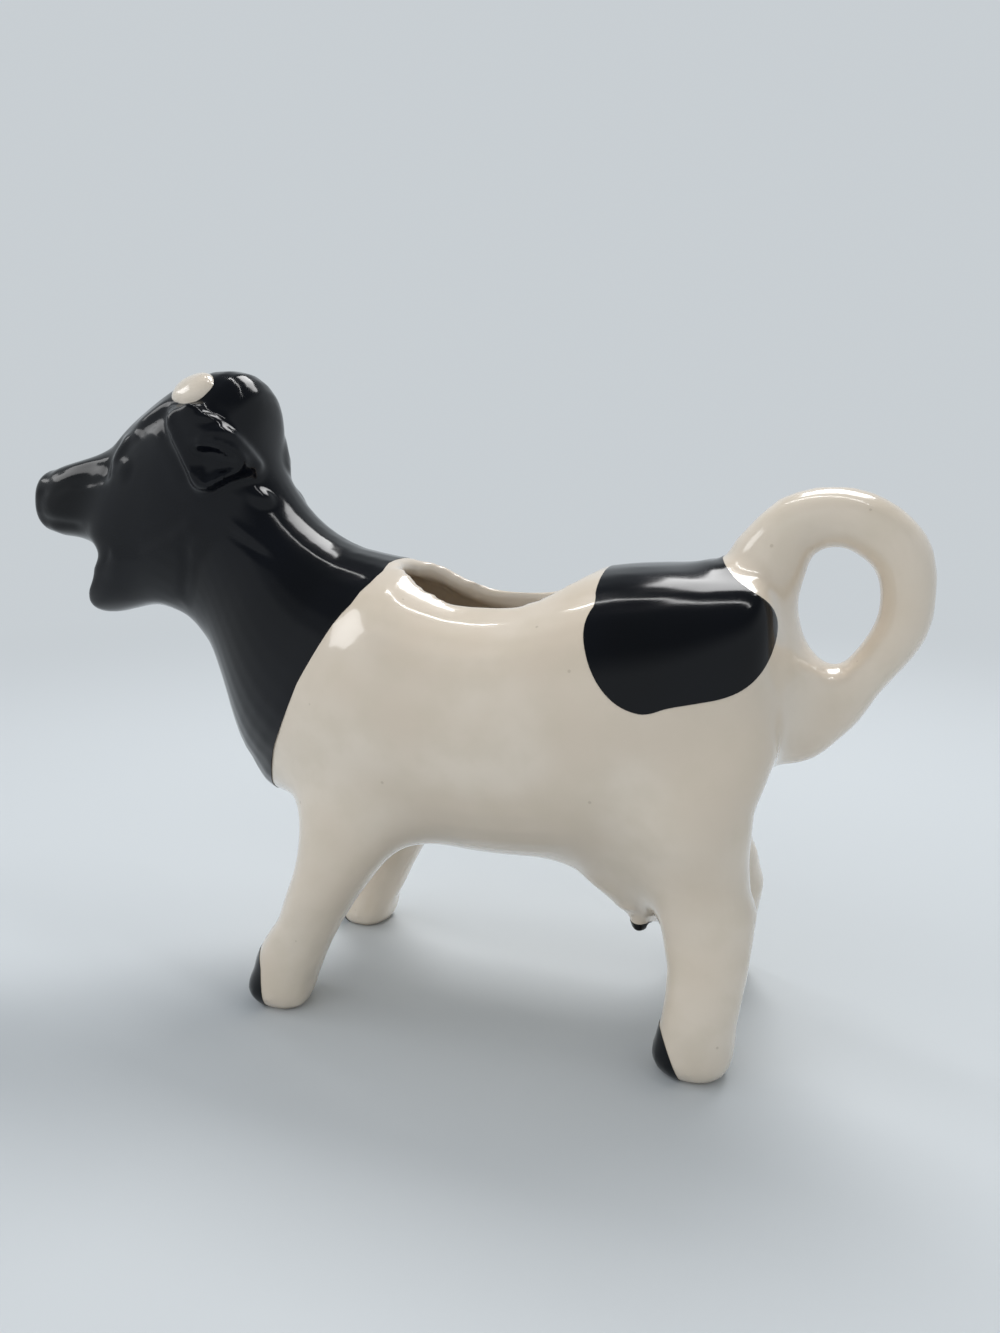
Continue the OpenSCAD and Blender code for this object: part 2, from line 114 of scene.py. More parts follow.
# %% The studio
TENT = (0.58, 0.62, 0.65, 1)
TENT_TOP = (0.18, 0.20, 0.22, 1)
TENT_STOPS = ((0.42, TENT), (0.80, TENT_TOP))


def lamp(title, place, aim, size, watts):
    """A soft rectangular lamp of size (width, height) in metres, hung at place and pointed at aim."""
    data = bpy.data.lights.new(title, "AREA")
    data.shape, data.size, data.size_y = "RECTANGLE", size[0], size[1]
    data.energy = watts
    made = bpy.data.objects.new(title, data)
    made.location = place
    made.rotation_euler = (Vector(aim) - Vector(place)).to_track_quat("-Z", "Y").to_euler()
    bpy.context.scene.collection.objects.link(made)
    return made


world = bpy.data.worlds.new("light_tent")
bpy.context.scene.world = world
world.use_nodes = True
sky = world.node_tree
bearing = sky.nodes.new("ShaderNodeTexCoord")
apart = sky.nodes.new("ShaderNodeSeparateXYZ")
ramp = sky.nodes.new("ShaderNodeValToRGB")
sky.links.new(bearing.outputs["Generated"], apart.inputs[0])
sky.links.new(apart.outputs["Z"], ramp.inputs["Fac"])
sky.links.new(ramp.outputs["Color"], sky.nodes["Background"].inputs["Color"])
ramp.color_ramp.interpolation = "EASE"
for stop, (height, shade) in zip(ramp.color_ramp.elements, TENT_STOPS):
    stop.position, stop.color = height, shade

lamp("back_softbox", (0.10, 0.42, 0.78), (0, 0, 0.06), (0.5, 0.3), 4.4)
lamp("line_lamp", (0.02, 0.04, 0.62), (0, 0, 0.07), (0.60, 0.010), 0.5)
lamp("side_softbox", (-0.54, -0.10, 0.48), (-0.06, 0, 0.10), (0.26, 0.20), 0.5)
fill = lamp("front_fill", (-0.5, -1.1, 1.0), (0, 0, 0.05), (1.8, 1.4), 7.0)
fill.visible_glossy = False
bpy.context.scene.view_settings.view_transform = "Standard"

# %% [markdown]
# ## Reading the clay parts
# The CAD keeps each cast or luted part as a node of its own, and they meet face to face. A potter
# sponges every seam flat before the first firing, so nothing of them shows. To do the same, each
# node is copied, its loose triangles are merged, and it is grown by a hair, so that neighbours
# overlap instead of only touching. A voxel remesh then makes one skin of them.

# %% Copying nodes into one lump of clay
GROW = 0.25 * MM
SAME_CORNER = 0.001 * MM


def node_clay(name, grow):
    """A CAD node as a bmesh with merged corners, grown outwards by grow metres."""
    clay = bmesh.new()
    clay.from_mesh(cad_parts[name].data)
    bmesh.ops.remove_doubles(clay, verts=clay.verts, dist=SAME_CORNER)
    clay.normal_update()
    for corner in clay.verts:
        corner.co += corner.normal * grow
    return clay


def mesh_object(title, clay):
    """A new object that holds a bmesh, which is freed."""
    mesh = bpy.data.meshes.new(title)
    clay.to_mesh(mesh)
    clay.free()
    made = bpy.data.objects.new(title, mesh)
    bpy.context.scene.collection.objects.link(made)
    return made


def settle(obj):
    """Applies obj's modifiers, so that its mesh holds what they make."""
    seen = obj.evaluated_get(bpy.context.evaluated_depsgraph_get())
    mesh = bpy.data.meshes.new_from_object(seen)
    old = obj.data
    obj.modifiers.clear()
    obj.data = mesh
    bpy.data.meshes.remove(old)
    return obj


def lump(names, grow=GROW):
    """The named nodes' copies, side by side in one bmesh."""
    together, mesh = bmesh.new(), bpy.data.meshes.new("lump")
    for name in names:
        clay = node_clay(name, grow)
        clay.to_mesh(mesh)
        together.from_mesh(mesh)
        clay.free()
    bpy.data.meshes.remove(mesh)
    return together


def remesh(obj, voxel):
    """One skin round all that obj holds, in square voxels."""
    skin = obj.modifiers.new("skin", "REMESH")
    skin.mode, skin.voxel_size, skin.adaptivity = "VOXEL", voxel, 0
    settle(obj)
    print(obj.name, "has", len(obj.data.polygons), "faces at", voxel / MM, "mm")
    return obj


# %% [markdown]
# ## Sponging
# A damp sponge does two things to leather-hard clay: it takes down every ridge that the mould
# left, and it fills the hollow corner where two parts meet. The first is smoothing with a step
# back after each step, which keeps the form from shrinking. The second moves only the corners that
# lie deeper than their neighbours, so that a leg flows into the belly and nothing else changes.

# %% Sponging helpers
STEP_IN, STEP_BACK = 0.5, -0.53
FRESH_NORMALS = 5
SLIDE = 0.3


class Skin:
    """The corners of a mesh as an array, with the list of each one's neighbours."""

    def __init__(self, obj):
        self.mesh = obj.data
        self.co = np.empty(len(self.mesh.vertices) * 3)
        self.mesh.vertices.foreach_get("co", self.co)
        self.co = self.co.reshape(-1, 3)
        ends = np.empty(len(self.mesh.edges) * 2, dtype=np.int64)
        self.mesh.edges.foreach_get("vertices", ends)
        one, other = ends[0::2], ends[1::2]
        self.here, self.there = np.concatenate([one, other]), np.concatenate([other, one])
        self.count = np.bincount(self.here, minlength=len(self.co)).clip(1)

    def mean(self, values):
        """The average of a value over each corner's neighbours."""
        if values.ndim == 1:
            return np.bincount(self.here, values[self.there], len(values)) / self.count
        return np.stack([self.mean(values[:, k]) for k in range(values.shape[1])], axis=1)

    def weights(self, weight):
        """A weight for every corner, kept between 0 and 1."""
        return np.broadcast_to(np.clip(weight, 0, 1), len(self.co))

    def write(self):
        """Gives the corners back to the mesh."""
        self.mesh.vertices.foreach_set("co", self.co.ravel())
        self.mesh.update()

    def normals(self):
        """The direction in which the skin faces at each corner."""
        self.write()
        found = np.empty(len(self.co) * 3)
        self.mesh.vertex_normals.foreach_get("vector", found)
        return found.reshape(-1, 3)

    def sponge(self, rounds, weight=1.0):
        """Takes ridges down without shrinking the form."""
        weight = self.weights(weight)[:, None]
        for _ in range(rounds):
            for step in (STEP_IN, STEP_BACK):
                self.co += weight * step * (self.mean(self.co) - self.co)

    def wear(self, rounds, weight=1.0):
        """Plain smoothing, which rounds an edge off."""
        weight = self.weights(weight)[:, None]
        for _ in range(rounds):
            self.co += weight * STEP_IN * (self.mean(self.co) - self.co)

    def fill(self, rounds, weight=1.0):
        """Raises only what lies deeper than its neighbours, with a little slide, as slip does."""
        weight = self.weights(weight)
        for turn in range(rounds):
            if turn % FRESH_NORMALS == 0:
                up = self.normals()
            step = self.mean(self.co) - self.co
            rise = np.einsum("ij,ij->i", step, up)
            self.co += (weight * rise.clip(0))[:, None] * up
            self.co += SLIDE * weight[:, None] * (step - rise[:, None] * up) * (rise > 0)[:, None]

    def shift(self, amount):
        """Moves every corner that many metres along its normal."""
        self.co += self.normals() * amount


def near(co, centre, reach):
    """1 at centre, falling softly to 0 at reach, for points in an array; both have X, Y and Z in mm."""
    d = np.linalg.norm((co - np.array(centre) * MM) / (np.array(reach) * MM), axis=1)
    return (1 - d * d).clip(0) ** 2


# %% [markdown]
# ## Which side of the wall
# The inside of a slip-cast jug is rinsed with the cream glaze, also where the outside is black, and
# a sponge never reaches it. So each corner has to know whether it lies on the wall of the hollow. A
# face of the hollow sees clay almost wherever it looks; a face outside sees mostly sky. Rays from
# the CAD's own faces tell the two apart, and every finer corner takes the answer of the face
# nearest to it.

# %% Which side of the wall
SHELL_NODES = ("body_shell", "neck_shell", "head_shell")
RAY_START, RAY_LENGTH = 0.3 * MM, 0.2
LEAST_SLANT = 0.25
HOLLOW_SHARE = 0.55
WALL_REACH = 4.5 * MM
LOOKS = [
    Vector((a, b, c)).normalized()
    for a in (-1, 0, 1) for b in (-1, 0, 1) for c in (-1, 0, 1) if (a, b, c) != (0, 0, 0)
]
shells = lump(SHELL_NODES, 0)
shells.normal_update()
shell_tree = BVHTree.FromBMesh(shells)


def faces_hollow(face):
    """True if most rays that leave this face's outer side meet clay again."""
    start = face.calc_center_median() + face.normal * RAY_START
    tries = [look for look in LOOKS if look.dot(face.normal) > LEAST_SLANT]
    met = [shell_tree.ray_cast(start, look, RAY_LENGTH)[0] is not None for look in tries]
    return sum(met) > HOLLOW_SHARE * len(met)


HOLLOW_FACES = [faces_hollow(face) for face in shells.faces]


def on_hollow(skin):
    """1 for the corners of a skin on the wall of the hollow and 0 for those outside."""
    found = (shell_tree.find_nearest(Vector(point)) for point in skin.co)
    inner = np.array([float(away < WALL_REACH and HOLLOW_FACES[face]) for _, _, face, away in found])
    for _ in range(12):
        inner = skin.mean(inner)
    return (inner > 0.5) * 1.0


print("faces on the hollow:", sum(HOLLOW_FACES), "of", len(HOLLOW_FACES))

# %% [markdown]
# ## Reading relief off the photograph
# The modeller worked the ear, the brow and the lips into the soft clay with a tool, and the glaze
# has run over them since. Their places are read off the photograph. Every corner of the near side
# knows the pixel where the camera sees it; the far side borrows the pixel of its mirror image, for
# the two halves of a mould are cut alike. A stroke is a ridge or a groove along a line of pixels, a
# plate raises or sinks all that lies inside an outline, a dome is a round bump, and a pull moves a
# whole form across, up or down the picture, where it shows that the hand-finished clay differs from
# the plain solid.

# %% Reading relief off the photograph
GRAZING, FACING_SPAN = 0.05, 0.3
BLUNT_END = 0.35
SPINE_BLEND = 16 * MM


def photo_pixels(skin):
    """For each corner its pixel in the photograph, and how squarely it faces the camera, 0 to 1."""
    flip = np.where(skin.co[:, 1:2] > 0, (1, -1, 1), (1, 1, 1))
    eye = np.array(camera.location)
    turn = np.array(camera.matrix_world.to_3x3())
    seen = (skin.co * flip - eye) @ turn
    pixels = np.stack([PHOTO_W / 2 - FOCAL_PX * seen[:, 0] / seen[:, 2],
                       PHOTO_H / 2 + FOCAL_PX * seen[:, 1] / seen[:, 2]], axis=1)
    away = skin.co * flip - eye
    away /= np.linalg.norm(away, axis=1)[:, None]
    facing = -np.einsum("ij,ij->i", skin.normals() * flip, away)
    return pixels, ((facing - GRAZING) / FACING_SPAN).clip(0, 1)


def from_line(pixels, points):
    """How many pixels each pixel lies from a line through points."""
    best = np.full(len(pixels), 1e9)
    for start, end in zip(np.array(points, float), np.array(points[1:], float)):
        along = ((pixels - start) @ (end - start) / ((end - start) @ (end - start))).clip(0, 1)
        best = np.minimum(best, np.linalg.norm(pixels - start - along[:, None] * (end - start), axis=1))
    return best


def depth_in(pixels, outline):
    """How many pixels inside the outline each pixel lies; negative outside."""
    odd = np.zeros(len(pixels), bool)
    for (u1, v1), (u2, v2) in zip(outline, outline[1:] + outline[:1]):
        crosses = (pixels[:, 1] < v1) != (pixels[:, 1] < v2)
        rise = v2 - v1 if v2 != v1 else 1e-9
        odd ^= crosses & (pixels[:, 0] < u1 + (pixels[:, 1] - v1) * (u2 - u1) / rise)
    return np.where(odd, 1, -1) * from_line(pixels, outline + outline[:1])


def soft(value):
    """0 below 0, 1 above 1, and smooth between them."""
    value = value.clip(0, 1)
    return value * value * (3 - 2 * value)


def stroke(pixels, height, width, points):
    """A ridge, or a groove if height is negative, of that half width in pixels, with lower ends."""
    ends = np.array([points[0], points[-1]], float)
    tip = np.minimum(*(np.linalg.norm(pixels - end, axis=1) for end in ends))
    taper = BLUNT_END + (1 - BLUNT_END) * soft(tip / (2.5 * width))
    return height * np.exp(-(from_line(pixels, points) / width) ** 2) * taper


def plate(pixels, height, edge, outline):
    """Raises what lies inside outline, over an edge that many pixels wide."""
    return height * soft(depth_in(pixels, outline) / edge + 0.5)


def dome(pixels, height, centre, across, down, turn=0.0):
    """A round bump, that many pixels in each half axis, turned by so many degrees."""
    turn = math.radians(turn)
    off = pixels - np.array(centre, float)
    one = off[:, 0] * math.cos(turn) + off[:, 1] * math.sin(turn)
    two = off[:, 1] * math.cos(turn) - off[:, 0] * math.sin(turn)
    return height * (1 - (one / across) ** 2 - (two / down) ** 2).clip(0) ** 1.5


def pull(skin, pixels, across, down, centre, wide, tall, halves=(1, 1)):
    """Moves what lies round a pixel by so many pixels across and down the picture.

    halves scales the move on the near and on the far half of the cow, with a soft change at the spine.
    """
    share = soft(0.5 + skin.co[:, 1] / SPINE_BLEND)
    weight = dome(pixels, 1.0, centre, wide, tall) * (halves[0] + share * (halves[1] - halves[0]))
    reach = np.linalg.norm(skin.co - np.array(camera.location), axis=1) / FOCAL_PX
    skin.co += (weight * reach)[:, None] * np.array([across / math.cos(CAMERA_TURN), 0, -down])


def on_skin(tree, pixels):
    """Where the camera's rays through some pixels meet a skin: X and Z in mm, without the misses."""
    hits = [tree.ray_cast(*photo_ray(u, v))[0] for u, v in pixels]
    return [(hit.x / MM, hit.z / MM) for hit in hits if hit]


print("relief tools: stroke, plate, dome, pull")

# %% [markdown]
# ## Teats
# Each teat is a blunt cone of clay that spreads out where it was luted to the udder, and its end was
# dipped in black. A short profile, radius and height in millimetres, spun round an upright line makes
# the cone, closed at both poles. The cones go into the casting's lump below; the dipped ends are
# glaze fields, like the toes further down.

# %% Teats
SIDES = ("left", "right")
CONE_PROFILE = [
    (0, 0.2), (1.5, 0.3), (2.15, 0.9), (2.5, 2.0), (2.8, 3.4),
    (3.4, 4.8), (4.5, 6.2), (6.0, 7.6), (0, 9.5),
]
SPIN_STEPS = 32


def spun(title, place, profile):
    """A closed turned form whose axis stands at place; profile gives radius and height in mm."""
    form = bmesh.new()
    points = [form.verts.new((r * MM, 0, h * MM)) for r, h in profile]
    edges = [form.edges.new(pair) for pair in zip(points, points[1:])]
    bmesh.ops.spin(form, geom=points + edges, axis=(0, 0, 1), cent=(0, 0, 0),
                   angle=math.tau, steps=SPIN_STEPS, use_merge=True)
    bmesh.ops.remove_doubles(form, verts=form.verts, dist=0.005 * MM)
    bmesh.ops.recalc_face_normals(form, faces=form.faces)
    bmesh.ops.translate(form, verts=form.verts, vec=place)
    return mesh_object(title, form)


cones, teat_names, teat_feet = [], [], []
for end in ("front", "rear"):
    for side in SIDES:
        low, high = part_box(f"teat_{end}_{side}")
        foot = Vector(((low[0] + high[0]) / 2, (low[1] + high[1]) / 2, low[2]))
        teat_feet.append(foot)
        teat_names.append(f"teat_{end}_{side}")
        cones.append(spun(f"cone_{end}_{side}", foot, CONE_PROFILE))
print("cones:", [o.name for o in cones])

# %% [markdown]
# ## The cream casting
# Barrel, haunches, legs, udder and tail are one colour and flow into each other, so they make one
# skin. The neck is cast with them and cut away later along the glaze line, so that the black part
# continues the same surface. A pellet of clay closes the deep corner between udder and hind leg,
# where a sponge can't reach. The rim of the filling opening was cut with a knife and then worn round
# with a wet finger, which plain smoothing near the rim does here. The feet are tucked in where they
# stand, because the caster wipes the sharp edge off each sole, and they stand a millimetre or two
# further in than the legs above them. Each zone is a centre and a reach in millimetres, and the first
# number of each sponge, fill and wear is its count of rounds.

# %% The cream casting
LEG_NODES = [
    f"{end}_{part}_{side}"
    for end in ("front", "hind") for part in ("leg", "toe") for side in SIDES
]
CREAM_VOXEL = 1.0 * MM
PELLET_RADIUS = 3.0 * MM
PELLET_X, PELLET_Y, PELLET_Z = 45.2, 15.2, 37
LEGS_TOP, LEGS_FADE = 66, 10
cream_lump = lump(["body_shell", "neck_shell", "tail_handle", "udder"] + LEG_NODES)
for cone in cones:
    cream_lump.from_mesh(cone.data)
    bpy.data.objects.remove(cone)
for sign in (-1, 1):
    pellet = bmesh.ops.create_icosphere(cream_lump, subdivisions=2, radius=PELLET_RADIUS)["verts"]
    corner = Vector((PELLET_X, PELLET_Y * sign, PELLET_Z)) * MM
    bmesh.ops.translate(cream_lump, verts=pellet, vec=corner)
cream = remesh(mesh_object("cream_casting", cream_lump), CREAM_VOXEL)
skin = Skin(cream)
skin.sponge(10)
outer = 1 - on_hollow(skin)
legs = np.clip((LEGS_TOP - skin.co[:, 2] / MM) / LEGS_FADE, 0, 1)
roots = 0.3 * near(skin.co, (64, 0, 93), (24, 18, 24)) + near(skin.co, (68, 0, 62), (30, 22, 30))
flanks = sum(near(skin.co, (57, y, 58), (40, 30, 40)) + near(skin.co, (-14, y, 48), (34, 28, 32))
             for y in (-22, 22))
skin.fill(140, outer * (legs + 3 * roots + 2 * flanks))
bag = sum(near(skin.co, (foot.x / MM, foot.y / MM, 24), (9, 9, 9)) for foot in teat_feet)
skin.fill(80, outer * 3 * bag)
skin.wear(60, outer * (1.6 * flanks - 0.3))
skin.fill(120, outer * 4 * roots)
skin.wear(12, outer * 2 * roots)
rim = near(skin.co, (10, 0, 86), (34, 17, 16)) > 0.02
skin.wear(4, rim * 1.0)
skin.sponge(4)
skin.shift(-GROW)

# Pixels across and down, the place, half its width and height, and the near and far half's shares.
BODY_PULLS = [
    (-2, 5.5, (271, 779), 34, 26),
    (-4.5, 0, (266, 945), 24, 32),
    (-4.5, 0, (320, 998), 24, 36),
    (-6, 0, (660, 918), 28, 54),
    (6, 0, (752, 852), 24, 42, (1, 0)),
    (-7, 0, (750, 862), 70, 70, (0, 1)),
    (-8, 0, (750, 915), 60, 46, (0, 1)),
    (0, 3.5, (722, 552), 22, 14),
    (0, 8, (612, 890), 42, 36),
    (2, 5, (808, 756), 44, 34),
    (4, 0, (797, 588), 22, 54),
    (0, 4, (836, 664), 26, 20),
    (-3, 2, (818, 646), 26, 28),
    (0, -3.5, (610, 572), 110, 36),
]
FRONT_FEET_END = 10
FEET_TOP, SOLE_TOP = 25, 1
TUCK, TUCK_TOP = 0.13, 5
HIND_LEAN, FRONT_LEAN = 2.0, 1.2
pixels, _ = photo_pixels(skin)
for row in BODY_PULLS:
    pull(skin, pixels, *row)
x, y, z = (skin.co / MM).T
for end in (x < FRONT_FEET_END, x >= FRONT_FEET_END):
    for side in (y < 0, y >= 0):
        shank = end & side & (z < FEET_TOP)
        middle = skin.co[shank & (z < SOLE_TOP)].mean(axis=0)
        tuck = TUCK * ((1 - z / TUCK_TOP).clip(0) ** 2)
        lean = np.where(x > FRONT_FEET_END, HIND_LEAN, FRONT_LEAN) * MM * ((1 - z / FEET_TOP).clip(0) ** 2)
        skin.co[shank, :2] += (tuck[:, None] * (middle - skin.co)[:, :2])[shank]
        skin.co[shank, 1] -= (np.sign(y) * lean)[shank]
skin.sponge(4)
creases = sum(near(skin.co, (44, y, 38), (12, 11, 13)) for y in (-15, 15))
creases += near(skin.co, (63, 0, 37), (12, 12, 12))
skin.fill(80, 2 * outer * creases)
skin.wear(30, 2 * outer * creases)
TAIL_START, TAIL_FADE = 66, 6
tail = np.clip((skin.co[:, 0] / MM - TAIL_START) / TAIL_FADE, 0, 1)
skin.wear(5, tail)
skin.sponge(60, tail)
skin.co[:, 2] = skin.co[:, 2].clip(0, None)
skin.write()
cream_corners = skin.co  # The teats' tips are found in it later, when the casting has been cut.
print("cream casting:", len(cream.data.vertices), "corners")

# %% [markdown]
# ## The black head and neck
# The head carries the fine modelling, so its voxels are smaller. A slice of the barrel is cast
# with it, past the glaze line, to keep the two skins the same where they meet. The ears lie close
# to the cheeks. They are pressed flatter here, the far one more, because the photograph shows nothing
# of it past the head, and their rims, cups and folds are modelled out of the skin further down.

# %% The black head and neck
HEAD_VOXEL = 0.6 * MM
CHEST_LOW, CHEST_HIGH = (-60, -40, 20), (4, 40, 110)
EAR_KEEP = (("left", 0.8), ("right", 0.5))


def block(low, high):
    """A box between two corners in millimetres, used only to cut with."""
    cutter = bmesh.new()
    bmesh.ops.create_cube(cutter, size=1)
    low, high = Vector(low) * MM, Vector(high) * MM
    middle, size = (low + high) / 2, high - low
    for corner in cutter.verts:
        corner.co = [middle[k] + corner.co[k] * size[k] for k in range(3)]
    return mesh_object("cutter", cutter)


def carve(obj, cutter, operation):
    """Cuts obj with a closed cutter, which is thrown away."""
    cut = obj.modifiers.new("cut", "BOOLEAN")
    cut.operation, cut.solver, cut.object = operation, "EXACT", cutter
    settle(obj)
    bpy.data.objects.remove(cutter)
    return obj


chest = carve(mesh_object("chest", lump(["body_shell"])), block(CHEST_LOW, CHEST_HIGH), "INTERSECT")
head_lump = lump(["head_shell", "neck_shell"])
for side, keep in EAR_KEEP:
    ear = lump([f"ear_{side}"])
    cheek = min((corner.co.y for corner in ear.verts), key=abs)
    for corner in ear.verts:
        corner.co.y = cheek + keep * (corner.co.y - cheek)
    pressed = mesh_object("ear", ear)
    head_lump.from_mesh(pressed.data)
    bpy.data.objects.remove(pressed)
head_lump.from_mesh(chest.data)
bpy.data.objects.remove(chest)
head = remesh(mesh_object("black_head_and_neck", head_lump), HEAD_VOXEL)
skin = Skin(head)
skin.sponge(12)
outer = 1 - on_hollow(skin)
cheeks = sum(near(skin.co, (-72, y, 94), (18, 15, 24)) for y in (-8, 8))
cheeks += near(skin.co, (-72, 0, 88), (12, 12, 16))
skin.fill(260, outer * 4 * cheeks)
skin.wear(40, outer * 2 * cheeks)
skin.fill(16, outer)
ears = sum(near(skin.co, (-44, y, 109), (17, 14, 17)) for y in (-12, 12))
skin.fill(60, outer * 3 * ears)
skin.wear(10, outer * 3 * ears)
skin.sponge(4)
skin.shift(-GROW)
skin.write()
print("head:", len(head.data.vertices), "corners")

# %% [markdown]
# ## The horn's bed
# The horns are pressed on before the ears are modelled, so their shape starts from the head's skin as
# it is now: what lies inside the horn's outline in the photograph is copied and raised to a dome that
# leaves the head at its edge.

# %% The horn's bed
HORN_OUTLINE = [
    (171, 397), (175, 389), (182, 380), (192, 375), (203, 373), (212, 374), (215, 379),
    (213, 387), (205, 396), (196, 402), (187, 404), (178, 404), (172, 401),
]
HORN_HEIGHT, HORN_SINK, HORN_DEPTH = 1.7, 0.3, 1.2
HORN_EDGE, HORN_MARGIN, HORN_SKIRT = 11, 4, 0.12
PAST_MIDDLE = 0.5 * MM


def horn_knob(side, sign):
    """A dome of clay over the horn's outline, on the side of the head that sign gives."""
    pixels, facing = photo_pixels(skin)
    inside = depth_in(pixels, HORN_OUTLINE)
    bed = bmesh.new()
    bed.from_mesh(head.data)
    bed.verts.ensure_lookup_table()
    own_side = skin.co[:, 1] * sign > -PAST_MIDDLE
    wanted = (inside > -HORN_MARGIN) & own_side & (facing > 0) & (outer > 0)
    gone = [face for face in bed.faces if not all(wanted[corner.index] for corner in face.verts)]
    dip = 1 - (inside / HORN_EDGE).clip(0, 1)
    height = HORN_HEIGHT * np.sqrt(1 - dip ** 2) - HORN_SINK + HORN_SKIRT * inside.clip(None, 0)
    up = skin.normals()
    for corner in bed.verts:
        corner.co += Vector(up[corner.index]) * float(height[corner.index]) * MM
    bmesh.ops.delete(bed, geom=gone, context="FACES")
    knob = mesh_object(f"horn_knob_{side}", bed)
    body = knob.modifiers.new("body", "SOLIDIFY")
    body.thickness, body.offset = HORN_DEPTH * MM, -1
    settle(knob)
    form = Skin(knob)
    form.wear(3)
    form.write()
    fine = knob.modifiers.new("fine", "SUBSURF")
    fine.levels = fine.render_levels = 2
    return settle(knob)


horns = [horn_knob(side, sign) for side, sign in zip(SIDES, (-1, 1))]
print("horns:", [len(o.data.polygons) for o in horns])

# %% [markdown]
# ## Modelling the face
# All heights are in millimetres and all places in pixels of the photograph. A stroke's row holds its
# height, its half width and its points. A plate's holds its height, the width of its edge and its
# outline, and a dome's its height, its centre, its two half axes and its turn in degrees.

# %% Modelling the face
EAR = [
    (171, 410), (171, 427), (178, 446), (187, 466), (196, 485), (207, 488), (219, 482), (231, 475),
    (242, 470), (256, 472), (261, 464), (252, 452), (240, 438), (226, 425), (206, 413), (190, 407),
]
EAR_FRONT = [(174, 412), (172, 424), (176, 438), (182, 451), (189, 465), (196, 479), (201, 487)]
EAR_LOWER = [(201, 487), (209, 486), (218, 480), (230, 474), (240, 468)]
CUP = [
    (197, 449), (210, 447), (222, 451), (232, 458), (238, 466),
    (229, 471), (217, 478), (207, 482), (202, 477), (197, 465),
]
CUP_RIM = [(195, 447), (206, 443), (219, 445), (231, 452), (240, 462), (242, 469)]
MUZZLE_SIDE = [
    (44, 492), (46, 478), (60, 469), (90, 464), (112, 461),
    (116, 466), (108, 480), (95, 486), (70, 488), (55, 495),
]
THROAT = [
    (112, 552), (140, 552), (170, 536), (190, 520), (214, 536),
    (192, 562), (186, 604), (150, 604), (100, 606),
]
STROKES = [
    (0.8, 4.0, EAR_FRONT),
    (-0.5, 6.5, [(u - 8, v + 2) for u, v in EAR_FRONT]),
    (0.7, 4.0, EAR_LOWER),
    (-0.5, 7.0, [(u + 3, v + 9) for u, v in EAR_LOWER]),
    (0.95, 4.0, CUP_RIM),
    (0.35, 3.0, [(198, 456), (210, 453), (222, 457), (231, 463)]),
    (0.45, 3.6, [(198, 418), (208, 420), (224, 419)]),
    (0.45, 3.6, [(195, 429), (206, 432), (221, 433), (232, 438)]),
    (-0.35, 4.0, [(197, 424), (210, 426), (226, 426)]),
    (-0.5, 4.5, [(245, 476), (244, 482), (239, 488)]),
    (0.7, 4.0, [(135, 434), (127, 439), (120, 451), (113, 465), (110, 478)]),
    (-0.6, 5.0, [(127, 434), (119, 441), (112, 452), (107, 468), (105, 480)]),
    (0.5, 4.5, [(172, 400), (160, 408), (147, 418), (134, 431)]),
    (-0.35, 5.0, [(168, 411), (156, 420), (144, 432)]),
    (-0.3, 3.5, [(40, 485), (43, 493), (50, 498)]),
    (0.3, 4.0, [(44, 528), (52, 531), (60, 532)]),
    (-0.4, 4.0, [(40, 517), (52, 522), (66, 524), (84, 526)]),
    (-0.3, 5.0, [(187, 540), (187, 556), (186, 575), (183, 600)]),
    (-0.4, 4.5, [(222, 528), (236, 537), (252, 548), (270, 561)]),
    (0.3, 5.0, [(226, 521), (242, 532), (258, 543)]),
]
PLATES = [
    (1.2, 10, EAR),
    (-1.5, 10, CUP),
    (-0.3, 6, MUZZLE_SIDE),
    (0.5, 16, THROAT),
]
DOMES = [
    (0.5, (206, 476), 20, 14, 0),
    (0.9, (253, 471), 14, 8, -20),
    (1.0, (197, 409), 16, 7, -12),
    (0.9, (262, 498), 17, 11, 30),
    (0.5, (122, 470), 10, 16, 20),
]
LIP_PULLS = [(6.5, 1.5, (92, 552), 22, 18), (-7.5, 1.0, (97, 597), 24, 22)]
FAR_SHARE = 0.5
pixels, facing = photo_pixels(skin)
for row in BODY_PULLS + LIP_PULLS:
    pull(skin, pixels, *row)
height = sum(stroke(pixels, *row) for row in STROKES) + sum(plate(pixels, *row) for row in PLATES)
height += sum(dome(pixels, *row) for row in DOMES)
up = skin.normals()
for _ in range(8):
    up = skin.mean(up)
up /= np.linalg.norm(up, axis=1)[:, None]
far = np.where(skin.co[:, 1] > 0, FAR_SHARE, 1.0)
skin.co += (height * far * facing * outer * MM)[:, None] * up
skin.wear(14, outer * dome(pixels, 1.0, (93, 573), 16, 16))
skin.wear(16, outer * dome(pixels, 1.6, (250, 473), 15, 13))
skin.wear(2, outer * soft(1 - (depth_in(pixels, EAR) / -24).clip(0, 1)))
skin.sponge(14)
skin.write()
print("face: highest", round(float(height.max()), 2), "mm, deepest", round(float(height.min()), 2), "mm")

# %% [markdown]
# ## The glaze line
# The black glaze ends on a line that runs from the front of the filling opening down to the chest. Its
# pixels are read off the photograph, and where the camera's rays through them meet the clay, they
# give the line on the near flank; the far flank gets the same line in side view. A block with that
# edge is the tool for both cuts: the black skin keeps what is inside it and the cream skin what is
# outside.

